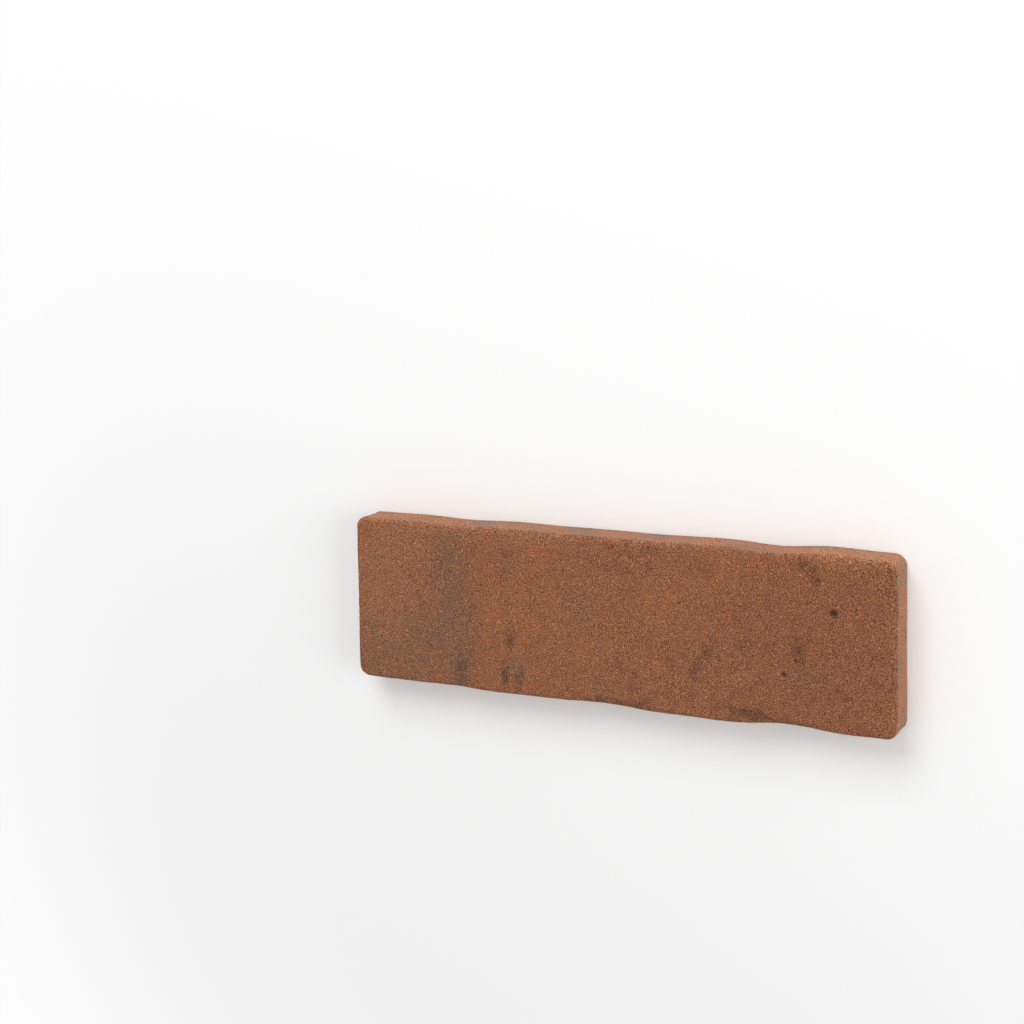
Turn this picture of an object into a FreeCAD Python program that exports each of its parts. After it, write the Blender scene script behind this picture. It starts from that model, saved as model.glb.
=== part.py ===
"""One brick slip, a thin fired-clay facing brick that lies on its flat back with its face up.

The frame, in millimetres: X runs along the slip, Y across it, towards its upper long edge
when laid in a wall, and Z comes out of its face. The origin is the middle of the back.
"""
import FreeCAD, Part
import math
import os
from typing import NamedTuple

V = FreeCAD.Vector


class Corner(NamedTuple):
    """A rounded corner of the outline, and how far it stands in from the overall size."""
    radius: float
    in_x: float
    in_y: float


class Pit(NamedTuple):
    """A shallow round pit in the face, placed from the nearest end and long edge."""
    from_end: float
    from_edge: float
    radius: float
    depth: float


class Crease(NamedTuple):
    """A short shallow fold of the clay in the face, with round ends."""
    from_end: float
    from_edge: float
    length: float
    width: float
    depth: float
    turn: float


# Overall size, over the proudest points of the outline
LENGTH = 215.0
HEIGHT = 65.0
THICKNESS = 15.0

# Arrises: the face's is worn soft, the back's is nearly sharp
FACE_ARRIS = 2.4
BACK_ARRIS = 0.8

# Corners of the outline
LOWER_LEFT = Corner(radius=5.0, in_x=0.05, in_y=0.35)
LOWER_RIGHT = Corner(radius=4.5, in_x=0.00, in_y=0.75)
UPPER_RIGHT = Corner(radius=4.5, in_x=1.20, in_y=0.60)
UPPER_LEFT = Corner(radius=4.0, in_x=0.20, in_y=0.10)

# Waves of the four edges, as (share of the way along, depth below the overall size).
# Each edge is followed anticlockwise: lower left to right, right upwards, upper right to left,
# left downwards.
LOWER_WAVE = ((0.14, 0.55), (0.21, 0.60), (0.26, 0.02), (0.31, 0.30), (0.38, 0.40), (0.44, 0.80),
              (0.50, 1.20), (0.56, 0.45), (0.67, 0.05), (0.75, 0.35), (0.82, 1.85), (0.87, 1.55),
              (0.92, 0.70))
RIGHT_WAVE = ((0.20, 0.15), (0.50, 0.65), (0.80, 0.95))
UPPER_WAVE = ((0.07, 0.15), (0.13, 0.15), (0.19, 1.15), (0.26, 0.40), (0.36, 0.30), (0.42, 0.50),
              (0.50, 0.30), (0.62, 0.25), (0.73, 0.10), (0.80, 0.60), (0.87, 0.11))
LEFT_WAVE = ((0.25, 0.10), (0.60, 0.15), (0.85, 0.00))

# Marks in the face near its right end: pits measured from that end and the lower edge,
# creases from that end and the upper edge, turned from the slip's length in degrees
PITS = (
    Pit(from_end=23.3, from_edge=44.1, radius=1.45, depth=1.00),
    Pit(from_end=40.7, from_edge=20.6, radius=1.00, depth=0.60),
    Pit(from_end=36.4, from_edge=25.9, radius=0.70, depth=0.40),
)
CREASES = (
    Crease(from_end=34.0, from_edge=4.9, length=4.6, width=1.1, depth=0.35, turn=-24.0),
    Crease(from_end=29.6, from_edge=9.2, length=4.0, width=1.2, depth=0.40, turn=-35.0),
)


def unit(angle: float) -> FreeCAD.Vector:
    """Unit vector in the plane of the back, at an angle in degrees from X."""
    return V(math.cos(math.radians(angle)), math.sin(math.radians(angle)), 0)


def corner_arc(corner: Corner, side_x: int, side_y: int, start_angle: float) -> Part.Edge:
    """Quarter circle of one corner, followed anticlockwise from start_angle."""
    centre = V(side_x * (LENGTH / 2 - corner.in_x - corner.radius),
               side_y * (HEIGHT / 2 - corner.in_y - corner.radius), 0)
    start, middle, end = (centre + unit(start_angle + turn) * corner.radius for turn in (0, 45, 90))
    return Part.Arc(start, middle, end).toShape()


def wavy_edge(start: FreeCAD.Vector, end: FreeCAD.Vector, outward: FreeCAD.Vector, limit: float,
              wave: tuple) -> Part.Edge:
    """Smooth curve from start to end whose stations dip below the limit by their depths."""
    run = end - start
    points = [start]
    for share, depth in wave:
        on_line = start + run * share
        points.append(on_line + outward * (limit - depth - on_line.dot(outward)))
    points.append(end)
    along = V(-outward.y, outward.x, 0)
    curve = Part.BSplineCurve()
    curve.interpolate(Points=points, InitialTangent=along, FinalTangent=along)
    return curve.toShape()


def outline() -> Part.Wire:
    """The slip's closed outline, in the plane of its back."""
    arcs = [
        corner_arc(LOWER_LEFT, -1, -1, 180),
        corner_arc(LOWER_RIGHT, 1, -1, 270),
        corner_arc(UPPER_RIGHT, 1, 1, 0),
        corner_arc(UPPER_LEFT, -1, 1, 90),
    ]
    sides = (
        (LOWER_WAVE, unit(270), HEIGHT / 2),
        (RIGHT_WAVE, unit(0), LENGTH / 2),
        (UPPER_WAVE, unit(90), HEIGHT / 2),
        (LEFT_WAVE, unit(180), LENGTH / 2),
    )
    edges = []
    for arc, next_arc, (wave, outward, limit) in zip(arcs, arcs[1:] + arcs[:1], sides):
        start = arc.Vertexes[-1].Point
        end = next_arc.Vertexes[0].Point
        edges += [arc, wavy_edge(start, end, outward, limit, wave)]
    return Part.Wire(edges)


def rim(body: Part.Shape, height: float) -> list:
    """The body's edges that lie wholly at one height."""
    slack = 0.01
    return [edge for edge in body.Edges
            if all(abs(z - height) < slack for z in (edge.BoundBox.ZMin, edge.BoundBox.ZMax))]


def cutter_radius(half_width: float, depth: float) -> float:
    """Radius of the ball that leaves a dish of this half width and depth in a flat face."""
    return (half_width ** 2 + depth ** 2) / (2 * depth)


def pit_cutter(pit: Pit) -> Part.Shape:
    """Ball that cuts one pit."""
    radius = cutter_radius(pit.radius, pit.depth)
    centre = V(LENGTH / 2 - pit.from_end, pit.from_edge - HEIGHT / 2, THICKNESS + radius - pit.depth)
    return Part.makeSphere(radius, centre)


def crease_cutter(crease: Crease) -> Part.Shape:
    """Round-ended bar that cuts one crease."""
    radius = cutter_radius(crease.width / 2, crease.depth)
    centre = V(LENGTH / 2 - crease.from_end, HEIGHT / 2 - crease.from_edge,
               THICKNESS + radius - crease.depth)
    along = unit(crease.turn)
    half_run = (crease.length - crease.width) / 2
    start = centre - along * half_run
    end = centre + along * half_run
    bar = Part.makeCylinder(radius, 2 * half_run, start, along)
    return bar.fuse([Part.makeSphere(radius, start), Part.makeSphere(radius, end)])


def brick_slip() -> Part.Shape:
    """The whole slip as one solid."""
    body = Part.Face(outline()).extrude(V(0, 0, THICKNESS))
    body = body.makeFillet(FACE_ARRIS, rim(body, THICKNESS))
    body = body.makeFillet(BACK_ARRIS, rim(body, 0))
    cutters = [pit_cutter(pit) for pit in PITS] + [crease_cutter(crease) for crease in CREASES]
    return body.cut(cutters)


os.makedirs("parts", exist_ok=True)
slip = brick_slip()
box = slip.BoundBox
print(f"brick_slip: {len(slip.Solids)} solid, valid {slip.isValid()}, {slip.Volume / 1000:.1f} cm3")
print(f"box {box.XMin:.3f} {box.YMin:.3f} {box.ZMin:.3f} to {box.XMax:.3f} {box.YMax:.3f} {box.ZMax:.3f}")
slip.Solids[0].exportStep("parts/brick_slip.step")
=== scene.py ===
"""Looks of one brick slip: a thin fired-clay facing brick lying on its flat back, face up.

The slip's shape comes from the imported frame. This script gives it a fine skin that carries the
sanded relief and the clay's colours, and adds a pale floor, soft studio light and a camera.
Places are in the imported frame: X along the slip, Y towards its upper long edge when laid in a
wall, Z out of its face. Blender's lengths are metres, and names that end in _mm hold millimetres.
"""

import logging
import math
from dataclasses import dataclass
from enum import Enum

import bpy
import numpy as np
from mathutils import Matrix, Vector


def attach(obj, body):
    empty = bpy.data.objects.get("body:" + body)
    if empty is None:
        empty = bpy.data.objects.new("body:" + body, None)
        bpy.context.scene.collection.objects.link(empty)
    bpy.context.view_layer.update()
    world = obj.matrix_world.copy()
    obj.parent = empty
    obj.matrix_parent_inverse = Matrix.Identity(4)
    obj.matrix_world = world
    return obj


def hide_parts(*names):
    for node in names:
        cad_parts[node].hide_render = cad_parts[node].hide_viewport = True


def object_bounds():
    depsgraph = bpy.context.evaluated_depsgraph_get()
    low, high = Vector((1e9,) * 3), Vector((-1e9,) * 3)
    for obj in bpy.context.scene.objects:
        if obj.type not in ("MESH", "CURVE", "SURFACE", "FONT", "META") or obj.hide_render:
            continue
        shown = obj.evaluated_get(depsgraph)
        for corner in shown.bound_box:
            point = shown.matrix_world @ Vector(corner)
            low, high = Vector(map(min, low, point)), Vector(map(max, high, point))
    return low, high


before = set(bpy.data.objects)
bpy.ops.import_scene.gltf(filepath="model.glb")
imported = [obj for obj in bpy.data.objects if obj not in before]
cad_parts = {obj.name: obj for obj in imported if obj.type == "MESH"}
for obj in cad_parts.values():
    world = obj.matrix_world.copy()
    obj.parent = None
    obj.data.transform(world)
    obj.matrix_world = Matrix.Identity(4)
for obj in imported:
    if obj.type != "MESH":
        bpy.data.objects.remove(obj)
CAD_LOW, CAD_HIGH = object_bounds()

MM = 0.001
X, Y, Z = range(3)

# A face looks along an axis when its normal's share along that axis is over this
FACES_AXIS = 0.5

SLIP_NODE = "brick_slip"

# Settings that many nodes share
SMOOTHLY = {"interpolation_type": "SMOOTHSTEP"}
COLOURS = {"data_type": "RGBA"}

log = logging.getLogger("brick_slip")


# Small helpers

def srgb(code: str) -> tuple[float, float, float, float]:
    """Linear colour of an sRGB hex value.

    Args:
        code: Six hex digits, such as "8b5a41".

    Returns:
        Red, green, blue and an alpha of 1, in linear light.
    """
    parts = [int(code[i:i + 2], 16) / 255 for i in (0, 2, 4)]
    linear = [p / 12.92 if p <= 0.04045 else ((p + 0.055) / 1.055) ** 2.4 for p in parts]
    return (*linear, 1.0)


def add_node(tree: bpy.types.NodeTree, kind: str, settings: dict | None = None,
             inputs: dict | None = None) -> bpy.types.Node:
    """Add a node with its settings, values and links.

    Args:
        tree: The node tree that gets the node.
        kind: The node's type, such as "ShaderNodeTexNoise".
        settings: Property names and values to set on the node.
        inputs: Input names or numbers, each with a value or with an output socket to link.

    Returns:
        The new node.
    """
    node = tree.nodes.new(kind)
    for name, value in (settings or {}).items():
        setattr(node, name, value)
    for name, value in (inputs or {}).items():
        if isinstance(value, bpy.types.NodeSocket):
            tree.links.new(value, node.inputs[name])
        else:
            node.inputs[name].default_value = value
    return node


def apply_modifier(piece: bpy.types.Object, kind: str, **settings: object) -> None:
    """Add a modifier to the active piece and apply it at once.

    Args:
        piece: The active piece.
        kind: The modifier's type, such as "SHRINKWRAP".
        settings: Property names and values to set on the modifier.
    """
    modifier = piece.modifiers.new(kind.lower(), kind)
    for name, value in settings.items():
        setattr(modifier, name, value)
    bpy.ops.object.modifier_apply(modifier=modifier.name)


def smooth_step(values: np.ndarray, low: float, high: float) -> np.ndarray:
    """Take some values smoothly from 0 at low to 1 at high."""
    share = np.clip((values - low) / (high - low), 0.0, 1.0)
    return share * share * (3 - 2 * share)


def points_of(mesh: bpy.types.Mesh) -> np.ndarray:
    """Read the places of a mesh's vertices.

    Args:
        mesh: The mesh, out of edit mode.

    Returns:
        One row of X, Y and Z for each vertex, in metres.
    """
    places = np.empty(len(mesh.vertices) * 3)
    mesh.vertices.foreach_get("co", places)
    return places.reshape(-1, 3)


def edge_ends(mesh: bpy.types.Mesh) -> tuple[np.ndarray, np.ndarray]:
    """Read where a mesh's edges start and end.

    Args:
        mesh: The mesh, out of edit mode.

    Returns:
        The starts and the ends, one row for each edge.
    """
    ends = np.empty(len(mesh.edges) * 2, dtype=np.int32)
    mesh.edges.foreach_get("vertices", ends)
    start, end = points_of(mesh)[ends.reshape(-1, 2).T]
    return start, end


def edit_edges(mesh: bpy.types.Mesh, chosen: np.ndarray) -> None:
    """Enter edit mode with some edges selected, and nothing else.

    Args:
        mesh: The active piece's mesh.
        chosen: True for each edge to select.
    """
    mesh.vertices.foreach_set("select", np.zeros(len(mesh.vertices), dtype=bool))
    mesh.polygons.foreach_set("select", np.zeros(len(mesh.polygons), dtype=bool))
    mesh.edges.foreach_set("select", chosen)
    bpy.context.tool_settings.mesh_select_mode = (False, True, False)
    bpy.ops.object.mode_set(mode="EDIT")


# Fired clay

class Tint(Enum):
    """Colours that the kiln leaves in patches on the clay, as sRGB hex. Pale pink is also a painted
    highlight along the upper arris. Tan is partly painted light on the upper edge. The pits' near black
    is painted shade.
    """
    GREY_FLASH = "6d5542"
    SOOT = "513625"
    ORANGE = "a65e34"
    # Also a painted highlight along the upper arris
    PALE_PINK = "986a4d"
    # Partly painted light on the upper edge
    TAN = "bf8050"
    RED_BROWN = "804a2f"
    # Painted shade inside the pits
    HOLLOW = "341f16"


@dataclass(frozen=True)
class Patch:
    """Soft-edged patch of one tint, an ellipsoid in millimetres in the slip's frame."""
    tint: Tint
    place_mm: tuple[float, float, float]
    half_mm: tuple[float, float, float]
    turn_deg: float
    strength: float


@dataclass(frozen=True)
class Mottling:
    """Blotches of one size: noise that is taken smoothly from 0 at low to most at high."""
    size_mm: float
    detail: float
    low: float
    high: float
    most: float = 1.0

    def cover(self, tree: bpy.types.NodeTree, place: bpy.types.NodeSocket) -> bpy.types.NodeSocket:
        """Draw the blotches.

        Args:
            tree: The material's node tree.
            place: Coordinates in millimetres.

        Returns:
            How much the blotches cover, from 0 to most.
        """
        noise = add_node(tree, "ShaderNodeTexNoise", inputs={
            "Vector": place, "Scale": 1 / self.size_mm, "Detail": self.detail})
        return add_node(tree, "ShaderNodeMapRange", SMOOTHLY, {
            "Value": noise.outputs["Fac"], "From Min": self.low, "From Max": self.high,
            "To Max": self.most}).outputs["Result"]


@dataclass(frozen=True)
class FiredClay:
    """Sand-faced clay, pressed in a mould and fired.

    The eye sees a dry, matt red-brown with no gloss, made of sand grains about half a millimetre
    across, some lighter and some darker than the clay between them. The kiln's smoke leaves grey
    flashes on the face, and the edges, which had less sand, are smoother, paler and pinker.
    Grain and flecks are drawn up to twice as coarse as the sand, so that they show.

    A patch's tint starts at the first patch_fade of its half sizes from its middle, and is full at
    the second. The swings say how far the grain takes red, green and blue from the plain colour.
    """
    body: str = "8a5639"
    warm: str = "975b37"
    dull: str = "744932"
    fleck: str = "bf987b"
    edge: str = "aa7352"
    edge_dull: str = "96705b"
    back: str = "8a6350"
    warm_spots: Mottling = Mottling(4.5, 3.0, 0.35, 0.65)
    dull_areas: Mottling = Mottling(30.0, 1.0, 0.35, 0.65)
    dull_spots: Mottling = Mottling(4.5, 4.0, 0.44, 0.66, 0.8)
    dull_edges: Mottling = Mottling(13.5, 4.0, 0.42, 0.60)
    streaks: Mottling = Mottling(2.6, 4.0, 0.22, 0.70)
    flecks: Mottling = Mottling(0.9, 2.0, 0.60, 0.75, 0.55)
    sand_limit: Mottling = Mottling(4.5, 3.0, 0.2, 0.8, 1.4)
    face_z_mm: tuple[float, float] = (12.4, 14.4)
    back_z_mm: tuple[float, float] = (0.05, 0.5)
    ragged_mm: float = 2.6
    ragged_size_mm: float = 6.0
    ragged_detail: float = 5.0
    ragged_roughness: float = 0.65
    patch_fade: tuple[float, float] = (1.3, 0.3)
    grain_mm: float = 0.8
    grain_detail: float = 3.0
    sand_mm: float = 0.42
    sand_detail: float = 1.0
    grain_swing: tuple[float, float, float] = (0.4, 0.55, 0.8)
    sand_swing: tuple[float, float, float] = (2.1, 2.45, 3.0)
    darkest: tuple[float, float, float] = (0.25, 0.22, 0.18)
    edge_grain: float = 0.75
    roughness: float = 0.92
    ior: float = 1.5
    bump_mm: float = 0.10
    # Kiln patches, among them painted light along the upper arris and the upper edge
    patches: tuple[Patch, ...] = ()
    # Painted shade: the pits drawn near black
    pore_shade: tuple[Patch, ...] = ()

    def build(self) -> bpy.types.Material:
        """Make the material.

        Returns:
            The material, which reads the piece's own coordinates.
        """
        material = bpy.data.materials.new("sand_faced_fired_clay")
        material.use_nodes = True
        tree = material.node_tree
        surface = tree.nodes["Principled BSDF"]
        coordinates = add_node(tree, "ShaderNodeTexCoord")
        place = add_node(tree, "ShaderNodeVectorMath", {"operation": "SCALE"}, {
            0: coordinates.outputs["Object"], "Scale": 1 / MM}).outputs[0]
        grain = add_node(tree, "ShaderNodeTexNoise", inputs={
            "Vector": place, "Scale": 1 / self.grain_mm, "Detail": self.grain_detail}).outputs["Fac"]
        height = add_node(tree, "ShaderNodeSeparateXYZ", inputs={0: place}).outputs["Z"]
        face = self.sanded_part(tree, place, height)
        colour = self.plain_clay(tree, place, height, face)
        # Kiln patches, with painted light along the upper arris and the upper edge
        colour = self.with_patches(tree, self.ragged(tree, place), colour, self.patches,
                                   self.streaks.cover(tree, place))
        colour = self.with_grain(tree, place, colour, grain, face)
        # Painted shade in the pits, drawn near black
        colour = self.with_patches(tree, place, colour, self.pore_shade)
        bump = add_node(tree, "ShaderNodeBump", inputs={
            "Strength": 1.0, "Distance": self.bump_mm * MM, "Height": grain})
        tree.links.new(colour, surface.inputs["Base Color"])
        tree.links.new(bump.outputs["Normal"], surface.inputs["Normal"])
        surface.inputs["Roughness"].default_value = self.roughness
        surface.inputs["IOR"].default_value = self.ior
        return material

    def sanded_part(self, tree: bpy.types.NodeTree, place: bpy.types.NodeSocket,
                    height: bpy.types.NodeSocket) -> bpy.types.NodeSocket:
        """Tell the sanded face from the edges, along an uneven limit.

        Args:
            tree: The material's node tree.
            place: Coordinates in millimetres.
            height: Height above the back in millimetres.

        Returns:
            1 on the sanded face and 0 on the edges.
        """
        uneven = add_node(tree, "ShaderNodeMath", {"operation": "ADD"}, {
            0: height, 1: self.sand_limit.cover(tree, place)})
        low, high = (z + self.sand_limit.most / 2 for z in self.face_z_mm)
        return add_node(tree, "ShaderNodeMapRange", SMOOTHLY, {
            "Value": uneven.outputs[0], "From Min": low, "From Max": high}).outputs["Result"]

    def plain_clay(self, tree: bpy.types.NodeTree, place: bpy.types.NodeSocket,
                   height: bpy.types.NodeSocket, face: bpy.types.NodeSocket) -> bpy.types.NodeSocket:
        """Colour the face, the edges and the back, before smoke and grain.

        Args:
            tree: The material's node tree.
            place: Coordinates in millimetres.
            height: Height above the back in millimetres.
            face: 1 on the sanded face and 0 on the edges.

        Returns:
            The clay's plain colour.
        """
        warmed = add_node(tree, "ShaderNodeMix", COLOURS, {
            "Factor": self.warm_spots.cover(tree, place), 6: srgb(self.body), 7: srgb(self.warm)})
        dull = add_node(tree, "ShaderNodeMath", {"operation": "MULTIPLY"}, {
            0: self.dull_areas.cover(tree, place), 1: self.dull_spots.cover(tree, place)})
        sanded = add_node(tree, "ShaderNodeMix", COLOURS, {
            "Factor": dull.outputs[0], 6: warmed.outputs[2], 7: srgb(self.dull)})
        smooth = add_node(tree, "ShaderNodeMix", COLOURS, {
            "Factor": self.dull_edges.cover(tree, place), 6: srgb(self.edge), 7: srgb(self.edge_dull)})
        seen = add_node(tree, "ShaderNodeMix", COLOURS, {
            "Factor": face, 6: smooth.outputs[2], 7: sanded.outputs[2]})
        hidden = add_node(tree, "ShaderNodeMapRange", SMOOTHLY, {
            "Value": height, "From Min": self.back_z_mm[1], "From Max": self.back_z_mm[0]})
        return add_node(tree, "ShaderNodeMix", COLOURS, {
            "Factor": hidden.outputs["Result"], 6: seen.outputs[2], 7: srgb(self.back)}).outputs[2]

    def ragged(self, tree: bpy.types.NodeTree, place: bpy.types.NodeSocket) -> bpy.types.NodeSocket:
        """Shift coordinates this way and that, so that what is drawn on them has a ragged outline.

        Args:
            tree: The material's node tree.
            place: Coordinates in millimetres.

        Returns:
            The shifted coordinates.
        """
        noise = add_node(tree, "ShaderNodeTexNoise", inputs={
            "Vector": place, "Scale": 1 / self.ragged_size_mm, "Detail": self.ragged_detail,
            "Roughness": self.ragged_roughness})
        shift = add_node(tree, "ShaderNodeVectorMath", {"operation": "MULTIPLY_ADD"}, {
            0: noise.outputs["Color"], 1: (2 * self.ragged_mm,) * 3, 2: (-self.ragged_mm,) * 3})
        return add_node(tree, "ShaderNodeVectorMath", {"operation": "ADD"}, {
            0: place, 1: shift.outputs[0]}).outputs[0]

    def with_patches(self, tree: bpy.types.NodeTree, place: bpy.types.NodeSocket,
                     colour: bpy.types.NodeSocket, patches: tuple[Patch, ...],
                     caught: bpy.types.NodeSocket | None = None) -> bpy.types.NodeSocket:
        """Lay patches over a colour.

        Args:
            tree: The material's node tree.
            place: Coordinates in millimetres.
            colour: The colour under the patches.
            patches: The patches, from the lowest up.
            caught: How well the clay took a patch's tint at each place, where that varies.

        Returns:
            The colour with its patches.
        """
        for patch in patches:
            local = add_node(tree, "ShaderNodeMapping", {"vector_type": "TEXTURE"}, {
                "Vector": place, "Location": patch.place_mm,
                "Rotation": (0, 0, math.radians(patch.turn_deg)), "Scale": patch.half_mm})
            reach = add_node(tree, "ShaderNodeVectorMath", {"operation": "LENGTH"}, {
                0: local.outputs[0]})
            cover = add_node(tree, "ShaderNodeMapRange", SMOOTHLY, {
                "Value": reach.outputs["Value"], "From Min": self.patch_fade[0],
                "From Max": self.patch_fade[1], "To Max": patch.strength}).outputs["Result"]
            if caught is not None:
                cover = add_node(tree, "ShaderNodeMath", {"operation": "MULTIPLY"}, {
                    0: cover, 1: caught}).outputs[0]
            colour = add_node(tree, "ShaderNodeMix", COLOURS, {
                "Factor": cover, 6: colour, 7: srgb(patch.tint.value)}).outputs[2]
        return colour

    def with_grain(self, tree: bpy.types.NodeTree, place: bpy.types.NodeSocket,
                   colour: bpy.types.NodeSocket, grain: bpy.types.NodeSocket,
                   face: bpy.types.NodeSocket) -> bpy.types.NodeSocket:
        """Lighten and darken a colour grain by grain, less on the edges than on the face.

        Args:
            tree: The material's node tree.
            place: Coordinates in millimetres.
            colour: The colour under the grain.
            grain: The coarse grain's noise.
            face: 1 on the sanded face and 0 on the edges.

        Returns:
            The colour with its grain.
        """
        amount = add_node(tree, "ShaderNodeMapRange", inputs={
            "Value": face, "To Min": self.edge_grain}).outputs["Result"]
        sand = add_node(tree, "ShaderNodeTexNoise", inputs={
            "Vector": place, "Scale": 1 / self.sand_mm, "Detail": self.sand_detail}).outputs["Fac"]
        for pattern, swing in ((grain, self.grain_swing), (sand, self.sand_swing)):
            # Noise from 0 to 1 is centred, and then multiplies the colour by 1 plus its swing
            centred = add_node(tree, "ShaderNodeMath", {"operation": "MULTIPLY_ADD"}, {
                0: pattern, 1: 2.0, 2: -1.0})
            eased = add_node(tree, "ShaderNodeMath", {"operation": "MULTIPLY"}, {
                0: centred.outputs[0], 1: amount})
            level = add_node(tree, "ShaderNodeVectorMath", {"operation": "MULTIPLY_ADD"}, {
                0: eased.outputs[0], 1: swing, 2: (1.0, 1.0, 1.0)})
            limited = add_node(tree, "ShaderNodeVectorMath", {"operation": "MAXIMUM"}, {
                0: level.outputs[0], 1: self.darkest})
            colour = add_node(tree, "ShaderNodeVectorMath", {"operation": "MULTIPLY"}, {
                0: colour, 1: limited.outputs[0]}).outputs[0]
        return add_node(tree, "ShaderNodeMix", COLOURS, {
            "Factor": self.flecks.cover(tree, place), 6: colour, 7: srgb(self.fleck)}).outputs[2]


# Where the kiln's smoke and heat coloured this slip, with a painted highlight along the upper arris and
# painted light on the upper edge's ends: tint, middle, half sizes, turn, strength
KILN_AND_LIGHT_PATCHES = (
    Patch(Tint.RED_BROWN, (80.0, 0.0, 15.0), (40.0, 36.0, 14.0), 0.0, 0.55),
    Patch(Tint.PALE_PINK, (-92.0, 8.0, 15.0), (26.0, 34.0, 14.0), 0.0, 0.45),
    Patch(Tint.GREY_FLASH, (-65.0, 14.0, 15.0), (9.0, 20.0, 8.0), 4.0, 0.81),
    Patch(Tint.GREY_FLASH, (-63.0, -8.0, 15.0), (10.0, 16.0, 8.0), 0.0, 0.68),
    Patch(Tint.GREY_FLASH, (-61.0, -24.0, 15.0), (7.0, 9.0, 8.0), 0.0, 0.81),
    Patch(Tint.SOOT, (-61.0, -25.0, 15.0), (4.0, 7.0, 8.0), 0.0, 0.60),
    Patch(Tint.GREY_FLASH, (-77.0, -14.0, 15.0), (14.0, 12.0, 8.0), 25.0, 0.68),
    Patch(Tint.GREY_FLASH, (-90.0, -24.0, 15.0), (22.0, 9.0, 8.0), 0.0, 0.68),
    Patch(Tint.GREY_FLASH, (-99.0, -12.0, 15.0), (6.0, 6.0, 8.0), 0.0, 0.47),
    Patch(Tint.SOOT, (-40.5, -9.0, 15.0), (3.2, 6.0, 8.0), 0.0, 0.75),
    Patch(Tint.SOOT, (-42.0, -25.0, 15.0), (2.0, 6.5, 8.0), 8.0, 0.85),
    Patch(Tint.SOOT, (-36.5, -25.5, 15.0), (2.2, 5.5, 8.0), -8.0, 0.90),
    Patch(Tint.GREY_FLASH, (-39.0, -20.0, 15.0), (5.0, 5.0, 8.0), 0.0, 0.61),
    Patch(Tint.GREY_FLASH, (-42.0, 19.0, 15.0), (2.2, 10.0, 8.0), 0.0, 0.54),
    Patch(Tint.GREY_FLASH, (-12.0, 5.0, 15.0), (8.0, 10.0, 8.0), 0.0, 0.47),
    Patch(Tint.GREY_FLASH, (-4.0, -24.0, 15.0), (4.0, 6.0, 8.0), 0.0, 0.54),
    Patch(Tint.SOOT, (38.0, 23.0, 15.0), (4.0, 3.2, 8.0), 0.0, 0.45),
    Patch(Tint.SOOT, (36.5, -9.0, 15.0), (3.0, 9.5, 8.0), -30.0, 0.75),
    Patch(Tint.SOOT, (74.5, 27.5, 15.0), (4.5, 2.4, 6.0), -24.0, 0.85),
    Patch(Tint.SOOT, (78.0, 22.5, 15.0), (3.0, 2.2, 6.0), -40.0, 0.80),
    Patch(Tint.SOOT, (72.0, -3.0, 15.0), (2.4, 7.0, 6.0), 8.0, 0.75),
    Patch(Tint.GREY_FLASH, (75.0, -12.0, 15.0), (7.0, 4.0, 8.0), 0.0, 0.47),
    Patch(Tint.SOOT, (57.0, -28.0, 14.5), (14.0, 2.2, 5.0), -6.0, 0.95),
    Patch(Tint.SOOT, (-1.0, -29.5, 14.0), (14.0, 2.0, 5.0), 0.0, 0.80),
    Patch(Tint.ORANGE, (-49.0, 8.0, 15.0), (5.0, 22.0, 8.0), 0.0, 0.25),
    Patch(Tint.ORANGE, (19.0, -16.0, 15.0), (4.0, 7.0, 8.0), 0.0, 0.40),
    Patch(Tint.ORANGE, (43.5, 27.0, 15.0), (4.5, 4.0, 8.0), 0.0, 0.45),
    Patch(Tint.ORANGE, (-28.0, 24.0, 15.0), (9.0, 7.0, 8.0), 0.0, 0.25),
    # Pale band along the upper arris: a painted highlight
    Patch(Tint.PALE_PINK, (-45.0, 29.5, 14.6), (42.0, 3.0, 6.0), -1.0, 0.50),
    # Tan at both ends of the upper edge: partly a paler clay, partly painted light on the edge that
    # faces the light
    Patch(Tint.TAN, (-95.0, 32.5, 8.0), (16.0, 6.0, 9.0), 0.0, 0.45),
    Patch(Tint.TAN, (90.0, 32.5, 8.0), (24.0, 6.0, 9.0), 0.0, 0.75),
)

# Hollows where a stone or a bubble left the clay, drawn near black inside: painted shade in the pits
PORE_SHADE = (
    Patch(Tint.HOLLOW, (84.2, 11.6, 14.3), (1.9, 1.45, 2.4), -20.0, 0.92),
    Patch(Tint.HOLLOW, (66.8, -11.9, 14.5), (1.3, 1.05, 1.8), 0.0, 0.85),
    Patch(Tint.HOLLOW, (71.1, -6.6, 14.6), (1.0, 0.85, 1.6), 0.0, 0.65),
)


# The slip

class Lump(Enum):
    """Shapes of lump, each by the name of the texture that makes it."""
    ROUNDED = "CLOUDS"
    GRITTY = "STUCCI"


@dataclass(frozen=True)
class Relief:
    """One size of lump in the clay's surface, cut inwards from the mould's face."""
    name: str
    kind: Lump
    lump_mm: float
    depth_mm: float
    on_edges: float


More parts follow.
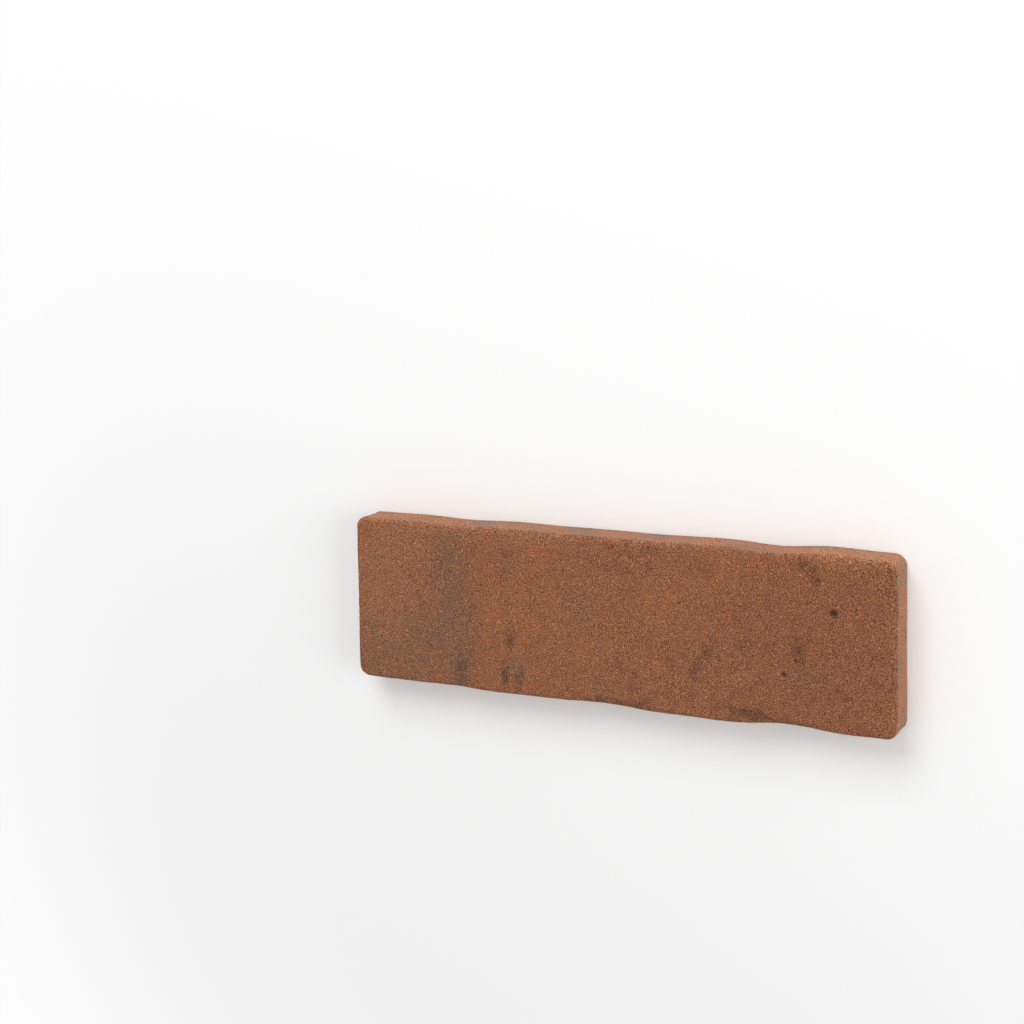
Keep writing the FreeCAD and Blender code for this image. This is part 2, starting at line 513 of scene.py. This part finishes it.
@dataclass(frozen=True)
class BrickSlip:
    """The whole slip, whose fine skin carries the sanded relief.

    The skin starts as a block that is cut into cells about half a millimetre wide, by the steps
    given for each axis, and is then drawn onto the slip's shape.
    """
    steps_along: tuple[tuple[int, tuple[int, ...]], ...] = ((Z, (26,)), (X, (8, 56)), (Y, (5, 27)))
    back_rings_mm: tuple[float, ...] = (0.5, 1.0, 1.6, 2.3, 3.2, 4.4)
    reliefs: tuple[Relief, ...] = (
        Relief("pressed_clay", Lump.ROUNDED, 12.0, 0.30, 1.0),
        Relief("lumps", Lump.ROUNDED, 3.5, 0.20, 0.6),
        Relief("sand", Lump.GRITTY, 1.1, 0.16, 0.50),
    )
    face_z_mm: tuple[float, float] = (12.8, 14.5)
    back_z_mm: tuple[float, float] = (0.4, 2.0)
    relief_levels: int = 20
    map_margin_mm: float = 3.0
    clay: FiredClay = FiredClay()

    def build(self) -> bpy.types.Object:
        """Make the slip and dress it.

        Returns:
            The slip's object.
        """
        slip = self.block()
        for axis, steps in self.steps_along:
            for parts in steps:
                self.cut_across(slip, axis, parts)
        self.close_back(slip)
        self.lay_out_map(slip)
        apply_modifier(slip, "SHRINKWRAP", target=bpy.data.objects[SLIP_NODE],
                       wrap_method="NEAREST_SURFACEPOINT")
        for relief in self.reliefs:
            self.roughen(slip, relief)
        slip.vertex_groups.clear()
        bpy.ops.object.shade_smooth()
        slip.data.materials.append(self.clay.build())
        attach(slip, "root")
        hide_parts(SLIP_NODE)
        return slip

    def block(self) -> bpy.types.Object:
        """Add a block as large as the slip, open at the back.

        Returns:
            The block's object, unturned and unscaled at the origin.
        """
        bpy.ops.object.select_all(action="DESELECT")
        bpy.ops.mesh.primitive_cube_add(size=1.0, location=(CAD_LOW + CAD_HIGH) / 2,
                                        scale=CAD_HIGH - CAD_LOW)
        bpy.ops.object.transform_apply(location=True, rotation=True, scale=True)
        slip = bpy.context.object
        slip.name = "sand_faced_slip"
        bpy.context.tool_settings.mesh_select_mode = (False, False, True)
        bpy.ops.object.mode_set(mode="EDIT")
        bpy.ops.mesh.select_all(action="DESELECT")
        bpy.ops.object.mode_set(mode="OBJECT")
        for side in slip.data.polygons:
            side.select = side.normal.z < -FACES_AXIS
        bpy.ops.object.mode_set(mode="EDIT")
        bpy.ops.mesh.delete(type="ONLY_FACE")
        bpy.ops.object.mode_set(mode="OBJECT")
        return slip

    @staticmethod
    def cut_across(slip: bpy.types.Object, axis: int, parts: int) -> None:
        """Cut every cell of the skin into equal parts along one axis.

        Args:
            slip: The active piece.
            axis: X, Y or Z.
            parts: How many parts each cell is cut into.
        """
        start, end = edge_ends(slip.data)
        run = np.abs(end - start)
        nearly_all = 0.99
        edit_edges(slip.data, run[:, axis] > nearly_all * np.linalg.norm(run, axis=1))
        bpy.ops.mesh.subdivide(number_cuts=parts - 1)
        bpy.ops.object.mode_set(mode="OBJECT")

    def close_back(self, slip: bpy.types.Object) -> None:
        """Draw the rim of the open back in, ring by ring, and close it with one flat face.

        Args:
            slip: The active piece.
        """
        size = CAD_HIGH - CAD_LOW
        middle = (CAD_LOW + CAD_HIGH) / 2
        slack = 0.01 * MM
        edit_edges(slip.data, np.maximum(*edge_ends(slip.data))[:, Z] < CAD_LOW.z + slack)
        reached = 0.0
        for inset in self.back_rings_mm:
            bpy.ops.mesh.extrude_edges_move()
            shrink = [(length - 2 * inset * MM) / (length - 2 * reached * MM) for length in size.xy]
            bpy.ops.transform.resize(
                value=(*shrink, 1.0), center_override=(middle.x, middle.y, CAD_LOW.z))
            reached = inset
        bpy.ops.mesh.edge_face_add()
        bpy.ops.mesh.select_all(action="SELECT")
        bpy.ops.mesh.normals_make_consistent(inside=False)
        bpy.ops.object.mode_set(mode="OBJECT")

    def lay_out_map(self, slip: bpy.types.Object) -> None:
        """Lay the block's six sides side by side, all at one scale, on the map that a bake uses.

        Args:
            slip: The block, before it is drawn onto the slip's shape.
        """
        size = CAD_HIGH - CAD_LOW
        margin = self.map_margin_mm * MM
        mesh = slip.data
        layer = mesh.uv_layers[0]
        layer.name = "OFBake"
        normals = np.empty(len(mesh.polygons) * 3)
        mesh.polygons.foreach_get("normal", normals)
        counts = np.empty(len(mesh.polygons), dtype=np.int32)
        mesh.polygons.foreach_get("loop_total", counts)
        loops = np.empty(len(mesh.loops), dtype=np.int32)
        mesh.loops.foreach_get("vertex_index", loops)
        normal = np.repeat(normals.reshape(-1, 3), counts, axis=0)
        place = points_of(mesh)[loops] - np.array(CAD_LOW)
        spots = np.zeros((len(loops), 2))
        laid_out = {Z: (X, Y), Y: (X, Z), X: (Y, Z)}
        left = low = margin
        for axis, sign in ((Z, 1), (Z, -1), (Y, 1), (Y, -1), (X, 1), (X, -1)):
            across, up = laid_out[axis]
            mine = normal[:, axis] * sign > FACES_AXIS
            spots[mine] = place[mine][:, (across, up)] + np.array((left, low))
            if axis == X:
                # The two end faces share the last row
                left += size[across] + margin
            else:
                low += size[up] + margin
        layer.data.foreach_set("uv", (spots / (size.x + 2 * margin)).ravel())

    def roughen(self, slip: bpy.types.Object, relief: Relief) -> None:
        """Cut one size of lump into the face and, more shallowly, the edges.

        Args:
            slip: The active piece.
            relief: The lumps to cut.
        """
        group = slip.vertex_groups.new(name=relief.name)
        height = points_of(slip.data)[:, Z] / MM
        share = relief.on_edges + (1 - relief.on_edges) * smooth_step(height, *self.face_z_mm)
        level = np.round(self.relief_levels * share * smooth_step(height, *self.back_z_mm))
        for step in range(1, self.relief_levels + 1):
            group.add(np.flatnonzero(level == step).tolist(), step / self.relief_levels, "REPLACE")
        texture = bpy.data.textures.new(relief.name, relief.kind.value)
        texture.noise_scale = relief.lump_mm * MM
        apply_modifier(slip, "DISPLACE", texture=texture, texture_coords="LOCAL", mid_level=1.0,
                       strength=relief.depth_mm * MM, vertex_group=group.name)


# Camera, light and floor

@dataclass(frozen=True)
class ViewCamera:
    """Camera that looks down on the face from the right of it and a little above its upper edge."""
    lens_mm: float = 59.77
    swing_deg: float = 25.61
    rise_deg: float = 8.24
    roll_deg: float = 0.56
    distance_mm: float = 650.2
    aim_mm: tuple[float, float, float] = (-45.52, 59.83, 0.0)
    shift_down: float = 0.06
    clip_from_mm: float = 10.0

    def build(self) -> bpy.types.Object:
        """Add the camera and make it the scene's.

        Returns:
            The camera object.
        """
        swing, rise = math.radians(self.swing_deg), math.radians(self.rise_deg)
        back = Vector((math.sin(swing) * math.cos(rise), math.sin(rise),
                       math.cos(swing) * math.cos(rise)))
        right = Vector((0, 1, 0)).cross(back).normalized()
        upward = back.cross(right)
        turn = Matrix((right, upward, back)).transposed()
        turn = turn @ Matrix.Rotation(math.radians(-self.roll_deg), 3, "Z")
        place = (Vector(self.aim_mm) + back * self.distance_mm) * MM
        bpy.ops.object.camera_add(location=place, rotation=turn.to_euler())
        camera = bpy.context.object
        camera.name = "view_camera"
        camera.data.lens = self.lens_mm
        camera.data.shift_y = -self.shift_down
        camera.data.clip_start = self.clip_from_mm * MM
        bpy.context.scene.camera = camera
        return camera


@dataclass(frozen=True)
class SoftBox:
    """Square area lamp that points at the slip."""
    name: str
    place_mm: tuple[float, float, float]
    side_mm: float
    watts: float

    def build(self) -> bpy.types.Object:
        """Add the lamp, aimed at the middle of the slip.

        Returns:
            The lamp object.
        """
        place = Vector(self.place_mm) * MM
        aim = (-place).to_track_quat("-Z", "Y").to_euler()
        bpy.ops.object.light_add(type="AREA", location=place, rotation=aim)
        lamp = bpy.context.object
        lamp.name = self.name
        lamp.data.size = self.side_mm * MM
        lamp.data.energy = self.watts
        return lamp


@dataclass(frozen=True)
class Studio:
    """Pale floor, a white surround and soft lamps."""
    floor_side_mm: float = 3000.0
    floor_colour: str = "f8f8f8"
    floor_roughness: float = 0.9
    floor_lift: float = 0.08
    white_from_mm: float = 150.0
    white_at_mm: float = 450.0
    white: str = "ffffff"
    surround_strength: float = 0.50
    lamps: tuple[SoftBox, ...] = (
        SoftBox("lamp_above_upper_edge", (-200.0, 1000.0, 900.0), 800.0, 8.6),
        SoftBox("lamp_right", (1100.0, 100.0, 600.0), 700.0, 4.8),
    )

    def build(self) -> None:
        """Add the floor, the surround and the lamps, and set how colour is shown."""
        bpy.ops.mesh.primitive_plane_add(size=self.floor_side_mm * MM, location=(0, 0, CAD_LOW.z))
        floor = bpy.context.object
        floor.name = "studio_floor"
        floor.data.materials.append(self.floor_material())
        self.dress_world()
        for lamp in self.lamps:
            lamp.build()
        bpy.context.scene.view_settings.view_transform = "Standard"

    def floor_material(self) -> bpy.types.Material:
        """Matt white paper, a little brighter to the camera, that turns plain white far from the slip.

        Returns:
            The floor's material.
        """
        material = bpy.data.materials.new("white_paper")
        material.use_nodes = True
        tree = material.node_tree
        surface = tree.nodes["Principled BSDF"]
        surface.inputs["Base Color"].default_value = srgb(self.floor_colour)
        surface.inputs["Roughness"].default_value = self.floor_roughness
        surface.inputs["Specular IOR Level"].default_value = 0.0
        surface.inputs["Emission Color"].default_value = srgb(self.white)
        in_view = self.in_view(tree)
        lift = add_node(tree, "ShaderNodeMath", {"operation": "MULTIPLY"}, {
            0: in_view, 1: self.floor_lift})
        tree.links.new(lift.outputs[0], surface.inputs["Emission Strength"])
        coordinates = add_node(tree, "ShaderNodeTexCoord")
        distance = add_node(tree, "ShaderNodeVectorMath", {"operation": "LENGTH"}, {
            0: coordinates.outputs["Object"]})
        far = add_node(tree, "ShaderNodeMapRange", SMOOTHLY, {
            "Value": distance.outputs["Value"], "From Min": self.white_from_mm * MM,
            "From Max": self.white_at_mm * MM})
        share = add_node(tree, "ShaderNodeMath", {"operation": "MULTIPLY"}, {
            0: in_view, 1: far.outputs["Result"]})
        plain = add_node(tree, "ShaderNodeEmission", inputs={"Color": srgb(self.white), "Strength": 1.0})
        mix = add_node(tree, "ShaderNodeMixShader", inputs={
            0: share.outputs[0], 1: surface.outputs[0], 2: plain.outputs[0]})
        tree.links.new(mix.outputs[0], tree.nodes["Material Output"].inputs["Surface"])
        return material

    @staticmethod
    def in_view(tree: bpy.types.NodeTree) -> bpy.types.NodeSocket:
        """Tell what the camera sees, straight on or in a gloss or through glass, from what gives light.

        Args:
            tree: The node tree of the floor or the world.

        Returns:
            1 for rays that show a surface to the camera, and 0 for rays that gather light.
        """
        path = add_node(tree, "ShaderNodeLightPath")
        shown = path.outputs["Is Camera Ray"]
        for kind in ("Is Glossy Ray", "Is Transmission Ray"):
            shown = add_node(tree, "ShaderNodeMath", {"operation": "MAXIMUM"}, {
                0: shown, 1: path.outputs[kind]}).outputs[0]
        return shown

    def dress_world(self) -> None:
        """Light softly from all round, and show white behind the floor."""
        world = bpy.data.worlds.new("studio")
        world.use_nodes = True
        bpy.context.scene.world = world
        tree = world.node_tree
        tree.nodes.clear()
        light = add_node(tree, "ShaderNodeBackground", inputs={
            "Color": srgb(self.white), "Strength": self.surround_strength})
        white = add_node(tree, "ShaderNodeBackground", inputs={
            "Color": srgb(self.white), "Strength": 1.0})
        mix = add_node(tree, "ShaderNodeMixShader", inputs={
            0: self.in_view(tree), 1: light.outputs[0], 2: white.outputs[0]})
        add_node(tree, "ShaderNodeOutputWorld", inputs={"Surface": mix.outputs[0]})


def main() -> None:
    """Build the slip, the studio and the camera."""
    logging.basicConfig(level=logging.INFO, format="%(name)s: %(message)s")
    slip = BrickSlip(clay=FiredClay(patches=KILN_AND_LIGHT_PATCHES, pore_shade=PORE_SHADE)).build()
    log.info("%s: one piece with %d faces", slip.name, len(slip.data.polygons))
    studio = Studio()
    studio.build()
    log.info("studio: a floor and %d lamps", len(studio.lamps))
    camera = ViewCamera().build()
    log.info("%s: %.0f mm lens", camera.name, camera.data.lens)


if __name__ == "__main__":
    main()
